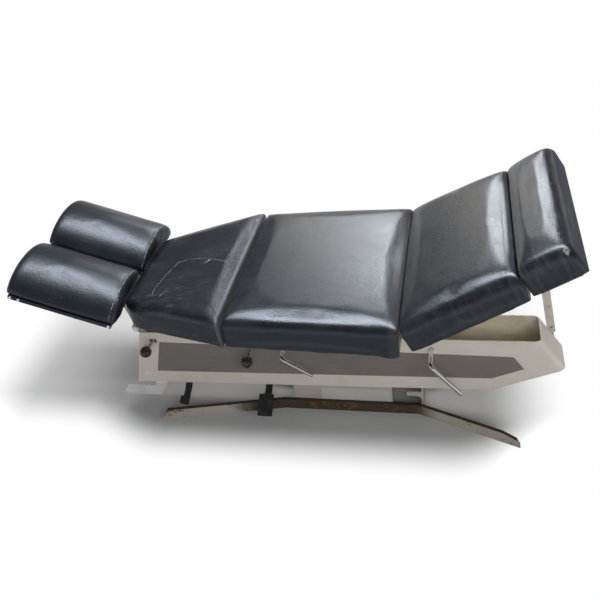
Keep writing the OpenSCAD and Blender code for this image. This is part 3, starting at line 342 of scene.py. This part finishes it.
give(steel_finish(), "thoracic_stop", "head_ears", "thoracic_hinge_pin", "lumbar_hinge_pin",
     "leg_hinge_pin", "lever_posts", "crank_bushes", "prop_stud", "pedal_brackets", "head_arm",
     "lumbar_drop_rod", "slide_guides", "foot_wedge", "prop_pin")


# Chromed rods: the slide rods, the ball levers and the two bent cranks are polished, with
# rust bloom near the trough where hands never rub them.
def chrome_finish():
    finish, surface, place = new_finish("worn_chrome")
    bloom = place.noise(45.0, 6.0, 0.7)
    inner = place.part("Y").between(-0.100, -0.070)
    rust = (bloom * inner).between(0.40, 0.62)
    pits = bloom.between(0.64, 0.72) * 0.6
    feed(surface, "Base Color", rust.mix((0.80, 0.80, 0.81), (0.20, 0.11, 0.05)))
    feed(surface, "Metallic", 1.0 - 0.7 * rust)
    feed(surface, "Roughness", 0.08 + 0.12 * bloom + 0.4 * rust + 0.2 * pits)
    bumped(surface, 0.0 - rust - pits, 0.0002)
    return finish


give(chrome_finish(), "foot_slide_rods", "head_lock_lever", "thoracic_lever", "lumbar_crank",
     "pelvic_crank")


# Ball knobs: moulded phenolic balls, black with a brownish bloom and fine rubbing marks.
def knob_finish():
    finish, surface, place = new_finish("phenolic_black")
    rubbed = place.noise(85.0, 5.0, 0.65)
    feed(surface, "Base Color", rubbed.between(0.4, 0.7).mix((0.022, 0.018, 0.018), (0.060, 0.048, 0.044)))
    feed(surface, "Roughness", 0.16 + 0.22 * rubbed)
    feed(surface, "Coat Weight", 0.3)
    bumped(surface, rubbed, 0.0002)
    return finish


give(knob_finish(), "head_lock_knob", "thoracic_knob")


# Pedals: black enamelled arms with chipped edges, and black rubber pads and bumpers.
def black_enamel():
    finish, surface, place = new_finish("black_enamel")
    chips = place.noise(95.0, 6.0, 0.7).between(0.62, 0.66)
    cloud = place.noise(12.0, 4.0)
    feed(surface, "Base Color", chips.mix((0.020, 0.020, 0.021), (0.11, 0.09, 0.075)))
    feed(surface, "Roughness", 0.32 + 0.2 * cloud + 0.2 * chips)
    bumped(surface, 0.0 - chips, 0.0004)
    return finish


def rubber_finish():
    finish, surface, place = new_finish("black_rubber")
    dust = place.noise(30.0, 5.0, 0.65)
    feed(surface, "Base Color", dust.between(0.45, 0.75).mix((0.018, 0.018, 0.018), (0.055, 0.052, 0.048)))
    feed(surface, "Roughness", 0.62 + 0.2 * dust)
    bumped(surface, place.noise(420.0, 2.0), 0.0003)
    return finish


give(black_enamel(), "head_pedal", "middle_pedal")
give(rubber_finish(), "rubber_bumpers", "head_pedal_pad", "middle_pedal_pad")


# Boards: plywood under every cushion, wrapped in black vinyl and stapled below. The cushions'
# covers are of the same vinyl, each with its own marks of wear, and on some a painted sheen.
def vinyl(name, on_cushion=True, dust=0.4, wrinkle=0.5, gloss=0.21, marks=None, dull_past=None):
    """Black upholstery vinyl. The function marks gives the light marks, mostly wear and in places painted
    sheen, with their tint and their depth.
    """
    finish, surface, place = new_finish(name)
    if on_cushion:
        place = place.node("ShaderNodeAttribute", {"attribute_name": "lay"}, "Vector")
    pebble = place.node("ShaderNodeTexVoronoi", None, "Distance", Vector=place, Scale=430.0)
    uneven = place.noise(170.0, 3.0, 0.6)
    wrinkles = place.noise(26.0, 5.0, 0.6, 1.0)
    cloud = place.noise(10.0, 5.0, 0.6)
    film = (cloud.between(0.45, 0.72) * uneven.between(0.35, 0.65)) * dust * 0.5
    height = pebble * 0.25 + uneven * 0.85 + wrinkles * wrinkle
    shade = cloud.between(0.3, 0.75).mix((0.0040, 0.0046, 0.0062), (0.0080, 0.0088, 0.0112))
    shade = (film * 0.30).mix(shade, (0.085, 0.085, 0.09))
    rough = gloss + 0.10 * cloud + 0.06 * pebble + 0.12 * film
    if marks:
        light, tint, depth = marks(place)
        shade = light.mix(shade, tint)
        rough = rough + 0.18 * light
        height = height + depth
    if dull_past:
        end_face = place.part("X").between(dull_past, dull_past + 0.004)
        rough = rough + 0.5 * end_face
    feed(surface, "Base Color", shade)
    feed(surface, "Roughness", rough)
    surface.inputs["Specular IOR Level"].default_value = 0.75
    surface.inputs["Specular Tint"].default_value = (0.76, 0.86, 1.0, 1)
    bumped(surface, height, 0.0012, 0.5)
    return finish


give(vinyl("board_vinyl", on_cushion=False, dust=0.8), "head_boards", "thoracic_board",
     "lumbar_board", "pelvic_board", "foot_board")


# Upholstered cushions: foam on a plywood board under black vinyl, pulled down over the long
# sides and stapled below. Each one is made lying flat, with X toward the feet and its board's
# underside at Z 0, and the solid in the frame stands for it when the table moves.
board_top = 0.014
grid = 0.006


def pick(piece, mode, wanted):
    """Select what passes a test in the piece that is being edited."""
    bpy.ops.mesh.select_mode(type=mode)
    bpy.ops.mesh.select_all(action="DESELECT")
    shape = bmesh.from_edit_mesh(piece.data)
    for row in {"EDGE": shape.edges, "FACE": shape.faces}[mode]:
        if wanted(row):
            row.select_set(True)
    bmesh.update_edit_mesh(piece.data)


def only(piece):
    bpy.ops.object.select_all(action="DESELECT")
    bpy.context.view_layer.objects.active = piece
    piece.select_set(True)


def points(piece):
    flat = np.empty(len(piece.data.vertices) * 3)
    piece.data.vertices.foreach_get("co", flat)
    return flat.reshape(-1, 3)


def set_points(piece, places):
    piece.data.vertices.foreach_set("co", places.ravel())
    piece.data.update()


def foam_block(name, ends, head_wide, foot_wide, tall, head_corner):
    """A tapered block with rounded corners, open below for the board."""
    foot_corner = 0.010
    board_inset = 0.0198
    board_recess = 0.0124
    start, end = ends
    bpy.ops.mesh.primitive_cube_add(size=1, location=((start + end) / 2, 0, tall / 2))
    block = bpy.context.object
    block.name = name
    block.dimensions = (end - start, 1, tall)
    bpy.ops.object.transform_apply(location=True, rotation=False, scale=True)
    bpy.ops.object.mode_set(mode="EDIT")
    pick(block, "FACE", lambda face: face.normal.x < -0.9)
    bpy.ops.transform.resize(value=(1, head_wide, 1))
    pick(block, "FACE", lambda face: face.normal.x > 0.9)
    bpy.ops.transform.resize(value=(1, foot_wide, 1))

    def upright(edge):
        return abs(edge.verts[0].co.z - edge.verts[1].co.z) > tall / 2

    pick(block, "EDGE", lambda edge: upright(edge) and edge.verts[0].co.x < (start + end) / 2)
    bpy.ops.mesh.bevel(offset=head_corner, segments=6)
    pick(block, "EDGE", lambda edge: upright(edge) and edge.verts[0].co.x > end - foot_corner / 2)
    bpy.ops.mesh.bevel(offset=foot_corner, segments=4)
    pick(block, "FACE", lambda face: face.normal.z < -0.9)
    bpy.ops.mesh.inset(thickness=board_inset, depth=-board_recess)
    pick(block, "EDGE", lambda edge: all(v.co.z > tall - 1e-4 for v in edge.verts))
    bpy.ops.mesh.bevel(offset=0.007, segments=4)
    bpy.ops.object.mode_set(mode="OBJECT")
    return block


def applied(piece, modifier):
    only(piece)
    bpy.ops.object.modifier_apply(modifier=modifier.name)


def remeshed(piece):
    remesh = piece.modifiers.new("even_grid", "REMESH")
    remesh.mode = "VOXEL"
    remesh.voxel_size = grid
    applied(piece, remesh)


def smoothed(piece):
    smooth = piece.modifiers.new("smooth", "SUBSURF")
    smooth.levels = 1
    smooth.render_levels = 1
    applied(piece, smooth)


def rolled(distance, run, depth):
    """How far a rolled edge lies below the top at a distance from the edge."""
    inward = np.clip(1 - distance / run, 0, 1)
    return depth * (1 - np.sqrt(1 - inward ** 2))


def swollen(piece, held_below, most, limits):
    """Let the foam push the cover out by at most a distance, with the part near the board held."""
    steps = 20
    rest = points(piece)
    group = piece.vertex_groups.new(name="held")
    group.add([int(i) for i in np.where(rest[:, 2] < held_below)[0]], 1.0, "REPLACE")
    cloth = piece.modifiers.new("cover", "CLOTH")
    cloth.settings.vertex_group_mass = "held"
    cloth.settings.use_pressure = True
    cloth.settings.uniform_pressure_force = 4
    cloth.settings.quality = 3
    cloth.settings.tension_stiffness = 15
    cloth.settings.compression_stiffness = 15
    cloth.settings.bending_stiffness = 4.0
    cloth.settings.shrink_min = 0.015
    cloth.settings.effector_weights.gravity = 0
    cloth.point_cache.frame_end = steps
    for step in range(1, steps + 1):
        bpy.context.scene.frame_set(step)
    applied(piece, cloth)
    piece.vertex_groups.clear()
    bpy.context.scene.frame_set(1)
    moved = points(piece) - rest
    far = np.linalg.norm(moved, axis=1)
    moved *= np.minimum(1, most / np.maximum(far, 1e-9))[:, None]
    rest = rest + moved
    set_points(piece, rest)
    taut = piece.modifiers.new("taut", "SMOOTH")
    taut.factor = 0.5
    taut.iterations = 20
    applied(piece, taut)
    low, high = limits
    set_points(piece, np.clip(points(piece), low, high))


def trimmed(piece, point, normal):
    """Press flat against a plane whatever stands past it, as two cushions press in a crease."""
    here = points(piece)
    normal = np.array(normal) / np.linalg.norm(normal)
    past = np.maximum((here - np.array(point)) @ normal, 0)
    set_points(piece, here - past[:, None] * normal)


def upholstered(name, node, body, place, length, head_wide, foot_wide, tall, rolls, shape=None,
                head_corner=0.010, reach=(0.009, 0.009), ends=(0.0003, -0.0003), crease=None,
                crown=0.007):
    """One flat cushion: its block, rolled edges, swelling and cover, put in its place.

    Each edge in rolls has turns of (run, depth). The block reaches past both ends, which are
    then pressed flat there, and against the crease's plane where the next cushion leans on it.
    """
    rise = 0.009
    side_crown = 0.006
    waist = 0.008
    waist_height = 0.03
    piece = foam_block(name, (-reach[0], length + reach[1]), head_wide, foot_wide, tall, head_corner)
    remeshed(piece)
    here = points(piece)
    half = (head_wide + (foot_wide - head_wide) * here[:, 0] / length) / 2
    inward = {"head": here[:, 0] + reach[0], "foot": length + reach[1] - here[:, 0],
              "side": half - np.abs(here[:, 1])}
    drop = 0
    for edge, turns in rolls.items():
        drop = drop + sum(rolled(inward[edge], *turn) for turn in turns) ** 2
    bow_along = (2 * (here[:, 0] / length) - 1) ** 2
    bow_across = (here[:, 1] / half) ** 2
    drop = np.sqrt(drop) + crown * bow_along + side_crown * bow_across
    lift = np.clip((here[:, 2] - board_top) / (tall - board_top), 0, 1)
    here[:, 2] += (rise - drop) * lift
    here[:, 1] *= 1 - waist * np.clip(1 - here[:, 2] / waist_height, 0, 1)
    set_points(piece, here)
    limits = ([ends[0], -1, 0], [length + ends[1], 1, tall + 0.010])
    swollen(piece, board_top, most=0.005, limits=limits)
    if crease:
        trimmed(piece, *crease)
    if shape:
        here = points(piece)
        shape(here)
        set_points(piece, here)
    smoothed(piece)
    finish_cushion(piece, node, body, place)
    return piece


def finish_cushion(piece, node, body, place):
    """Keep the place on the cushion for its cover's pattern, then put it in the table."""
    lay = piece.data.attributes.new("lay", "FLOAT_VECTOR", "POINT")
    lay.data.foreach_set("vector", points(piece).ravel())
    piece.matrix_world = place
    only(piece)
    bpy.ops.object.transform_apply(location=True, rotation=True, scale=True)
    bpy.ops.object.shade_smooth()
    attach(piece, body)
    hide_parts(node)


def turned(degrees):
    return Matrix.Rotation(math.radians(degrees), 4, "Y")


def at(x, z, y=0.0):
    return Matrix.Translation((x, y, z))


# Where each cushion lies at rest, counted from the axis of the thoracic hinge.
joints = {joint["name"]: joint for joint in frame["record"]["behaviour"]["joints"]}
lumbar_start = joints["thoracic_tilt"]["pos_m"][0] + 0.016
lumbar_place = at(lumbar_start, 0.449)
thoracic_place = at(lumbar_start - 0.016, 0.436) @ turned(-5.6) @ at(-0.3225, 0.013)
leg_place = at(lumbar_start + 0.490686, 0.450) @ turned(-28)
pelvic_place = leg_place @ at(0.023686, 0)
foot_place = leg_place @ at(0.351313, 0.000231) @ turned(-4)
head_place = at(lumbar_start - 0.400, 0.318) @ turned(20) @ at(-0.340, 0.175)


# Wear and seams: what the covers share, as changes of shape or as marks in their vinyl.
def bump_near(here, spot, spread):
    """1 at a spot, falling smoothly to 0 over the spread each way."""
    away = np.linalg.norm((here - np.array(spot)) / np.array(spread), axis=1)
    near = np.clip(1 - away, 0, 1)
    return near ** 2 * (3 - 2 * near)


def stroke(lay, start, end, width):
    """A line rubbed into the cover from one place to another."""
    dx, dy = end[0] - start[0], end[1] - start[1]
    wobble = lay.noise(22.0, 3.0) * 0.010 - 0.005
    across = lay.part("X") - start[0] + wobble
    along = lay.part("Y") - start[1] + wobble
    share = ((across * dx + along * dy) * (1 / (dx * dx + dy * dy))).clamped()
    off_x = across - share * dx
    off_y = along - share * dy
    return 1.0 - (off_x * off_x + off_y * off_y).between(0.2 * width * width, 2.0 * width * width)


def rubs(lay, angle, scale, thin=0.010):
    """Fine straight scratches that run one way."""
    turned_lay = lay.node("ShaderNodeMapping", None, 0, Vector=lay, Rotation=(0, 0, math.radians(angle)),
                          Scale=(2.2 * scale, 34 * scale, 2.2 * scale))
    ridge = abs(turned_lay.noise(1.0, 4.0, 0.6, 0.3) - 0.5)
    return (1.0 - ridge.between(0.2 * thin, thin)) * lay.noise(7.0 * scale, 2.0).between(0.52, 0.64)


def seam(lay, at_x, width=0.0012):
    """A sewn line across the cushion."""
    return 1.0 - abs(lay.part("X") - at_x).between(0.3 * width, width)


# Lumbar cushion: the largest and flattest, with a seam along its foot edge and a pleat that
# hangs below the rim at the near foot corner.
def lumbar_pleat(here):
    hang = bump_near(here, (0.452, -0.318, 0.0), (0.040, 0.030, 0.030))
    here[:, 2] -= 0.0085 * hang
    here[:, 1] -= 0.003 * hang


def lumbar_marks(lay):
    sewn = seam(lay, 0.447)
    lines = rubs(lay, 20, 0.8) * 0.08
    strip = lay.part("X").between(0.4475, 0.452) * 0.10
    return lines + strip + sewn * 0.08, (0.17, 0.15, 0.14), sewn * 0.5 - lines


lumbar = upholstered("lumbar_cover", "lumbar_cushion", "lumbar_section", lumbar_place,
                     length=0.475, head_wide=0.600, foot_wide=0.646, tall=0.096,
                     rolls={"head": [(0.030, 0.008)], "foot": [(0.070, 0.008)],
                            "side": [(0.060, 0.006), (0.028, 0.018)]},
                     shape=lumbar_pleat, crown=0.005,
                     crease=((0.474, 0, 0.084), (0.9703, 0, 0.2419)))
lumbar.data.materials.append(vinyl("lumbar_vinyl", dust=0.35, wrinkle=0.55, marks=lumbar_marks))


# Thoracic cushion: narrow at the head end, with the most wear of all, a curved scratch, rubbed
# streaks, and a cracked edge along the lumbar cushion, pale from wear and lightened as painted sheen.
def thoracic_flap(here):
    here[:, 2] -= 0.008 * bump_near(here, (0.322, -0.302, 0.0), (0.026, 0.020, 0.022))


def thoracic_marks(lay):
    path = [(0.101, -0.162), (0.101, -0.127), (0.112, -0.055), (0.130, 0.000), (0.160, 0.012),
            (0.216, 0.013), (0.248, 0.000), (0.294, -0.019)]
    tail = stroke(lay, (0.130, -0.173), (0.142, -0.147), 0.0012)
    curve = tail.largest(*(stroke(lay, *step, 0.0013) for step in zip(path[:-1], path[1:])))
    curve = curve * lay.noise(90.0, 3.0).between(0.36, 0.52)
    chalk = stroke(lay, (0.222, -0.014), (0.232, -0.002), 0.004) * lay.noise(160.0, 3.0).between(0.4, 0.6)
    streaks = rubs(lay, 72, 1.0) * 0.24 + rubs(lay, -35, 1.3) * 0.20 + rubs(lay, 15, 1.6) * 0.18
    crackle = lay.noise(120.0, 5.0, 0.75, 0.6).between(0.44, 0.60)
    edge = lay.part("X").between(0.284, 0.333)
    # The cracked strip along the foot edge and the seam line there are lightened: partly wear, partly
    # painted sheen where the roll catches the light.
    wear_and_painted_light = edge * edge * crackle * 0.10 + lay.part("X").between(0.3245, 0.331) * 0.22
    light = (curve * 0.36 + chalk * 0.6 + streaks * 0.5 + wear_and_painted_light).clamped()
    return light, (0.27, 0.285, 0.31), crackle * edge * 1.2 - curve * 0.4


thoracic = upholstered("thoracic_cover", "thoracic_cushion", "thoracic_section", thoracic_place,
                       length=0.336, head_wide=0.364, foot_wide=0.615, tall=0.096,
                       rolls={"head": [(0.060, 0.010), (0.020, 0.012)], "foot": [(0.045, 0.006)],
                              "side": [(0.060, 0.006), (0.026, 0.018)]},
                       shape=thoracic_flap, crown=0.004, head_corner=0.048)
thoracic.data.materials.append(vinyl("thoracic_vinyl", dust=0.5, wrinkle=1.0, gloss=0.24,
                                     marks=thoracic_marks))


# Pelvic cushion: raised toward the feet, dusty and streaked across, with a seam before the
# foot cushion.
def pelvic_marks(lay):
    sewn = seam(lay, 0.297)
    streaks = lay.stretch(30.0, 1.6, 4.0).noise(3.0, 4.0, 0.6).between(0.48, 0.70) * 0.05
    lines = rubs(lay, -30, 1.1) * 0.10 + rubs(lay, 64, 0.9) * 0.08
    return streaks + lines + sewn * 0.10, (0.20, 0.195, 0.195), sewn * 0.5 - lines


pelvic = upholstered("pelvic_cover", "pelvic_cushion", "leg_section", pelvic_place,
                     length=0.318, head_wide=0.636, foot_wide=0.580, tall=0.095,
                     rolls={"head": [(0.060, 0.009)], "foot": [(0.060, 0.008), (0.014, 0.007)],
                            "side": [(0.070, 0.008), (0.032, 0.022)]},
                     ends=(0.0004, 0.0008), crease=((0.0010, 0, 0.0811), (-0.9703, 0, 0.2419)))
pelvic.data.materials.append(vinyl("pelvic_vinyl", dust=0.5, wrinkle=0.60, marks=pelvic_marks))


# Foot cushion: short and well rounded, torn through at its near foot corner so that the
# backing cloth shows.
def foot_marks(lay):
    spot = lay.node("ShaderNodeVectorMath", {"operation": "DISTANCE"}, "Value",
                    i0=lay.stretch(1.0, 1.0, 0.3), i1=(0.117, -0.266, 0.022))
    torn = (spot + lay.noise(140.0, 4.0, 0.7) * 0.012).between(0.0125, 0.0105)
    fibres = torn * lay.noise(420.0, 3.0).between(0.42, 0.58)
    streaks = lay.stretch(30.0, 1.6, 4.0).noise(3.0, 4.0, 0.6).between(0.48, 0.70) * 0.08
    lines = rubs(lay, -25, 1.3) * 0.04
    return fibres * 0.9 + streaks + lines, (0.34, 0.31, 0.28), 0.0 - torn * 1.2 - lines


foot = upholstered("foot_cover", "foot_cushion", "foot_section", foot_place,
                   length=0.135, head_wide=0.562, foot_wide=0.562, tall=0.095,
                   rolls={"head": [(0.034, 0.010)], "foot": [(0.040, 0.006), (0.026, 0.018)],
                          "side": [(0.060, 0.008), (0.028, 0.018)]},
                   ends=(-0.0010, 0.0), reach=(0.009, 0.003), crown=0.004)
foot.data.materials.append(vinyl("foot_vinyl", dust=0.35, wrinkle=0.70, marks=foot_marks,
                                 dull_past=0.130))


# Head cushions: two half-round foam rolls side by side with a slot for the face, the cover
# drawn over the head end and closed at the neck end by a flat face with a thin welt.
def half_roll(name, side):
    half_width = 0.125
    height = 0.078
    neck_end = 0.3275
    from_middle = 0.133
    bpy.ops.mesh.primitive_cylinder_add(vertices=56, radius=half_width, depth=0.327,
                                        location=(0.164, 0, 0), rotation=(0, math.pi / 2, 0))
    roll = bpy.context.object
    roll.name = name
    bpy.ops.object.transform_apply(location=True, rotation=True, scale=True)
    bpy.ops.object.mode_set(mode="EDIT")
    bpy.ops.mesh.select_all(action="SELECT")
    bpy.ops.mesh.bisect(plane_co=(0, 0, 0), plane_no=(0, 0, 1), clear_inner=True, use_fill=True)
    bpy.ops.mesh.select_all(action="SELECT")
    bpy.ops.transform.resize(value=(1, 1, height / half_width), center_override=(0, 0, 0))

    def on_rim(edge, inside):
        above_board = any(v.co.z >= 1e-4 for v in edge.verts)
        return above_board and all(inside(v.co.x) for v in edge.verts)

    pick(roll, "EDGE", lambda edge: on_rim(edge, lambda x: x < 0.002))
    bpy.ops.mesh.bevel(offset=0.026, segments=6)
    pick(roll, "EDGE", lambda edge: on_rim(edge, lambda x: x > 0.3255))
    bpy.ops.mesh.bevel(offset=0.013, segments=5)
    bpy.ops.object.mode_set(mode="OBJECT")
    remeshed(roll)
    here = points(roll)
    bow = np.sin(np.pi * np.clip(here[:, 0] / 0.328, 0, 1))
    here[:, 2] *= 1 + 0.03 * bow
    set_points(roll, here)
    limits = ([0.0, -half_width, 0], [neck_end, half_width, height + 0.004])
    swollen(roll, 0.006, most=0.004, limits=limits)

    # The neck end slants out a little toward the outer side.
    here = points(roll)
    outer = np.clip((side * here[:, 1] - 0.015) / 0.060, 0, 1)
    here[:, 0] += 0.012 * outer * np.clip((here[:, 0] - 0.29) / 0.035, 0, 1)
    set_points(roll, here)
    smoothed(roll)
    which = "near" if side < 0 else "far"
    place = head_place @ at(0, 0, side * from_middle)
    finish_cushion(roll, "head_cushion_" + which, "headpiece", place)
    return roll


def head_marks(lay):
    lines = rubs(lay, 8, 1.2) * 0.06
    # The welt line is lightened in patches: partly wear on the piping, partly a painted highlight along
    # it.
    welt = 1.0 - abs(lay.part("X") - 0.3165).between(0.0006, 0.0020)
    welt_wear_and_sheen = welt * lay.noise(60.0, 3.0).between(0.40, 0.60)
    return lines + welt_wear_and_sheen * 0.7, (0.24, 0.235, 0.23), welt * 0.8 - lines


head_vinyl = vinyl("head_vinyl", dust=0.25, wrinkle=0.45, gloss=0.29, marks=head_marks)
for name, side in (("head_cover_near", -1), ("head_cover_far", 1)):
    half_roll(name, side).data.materials.append(head_vinyl)
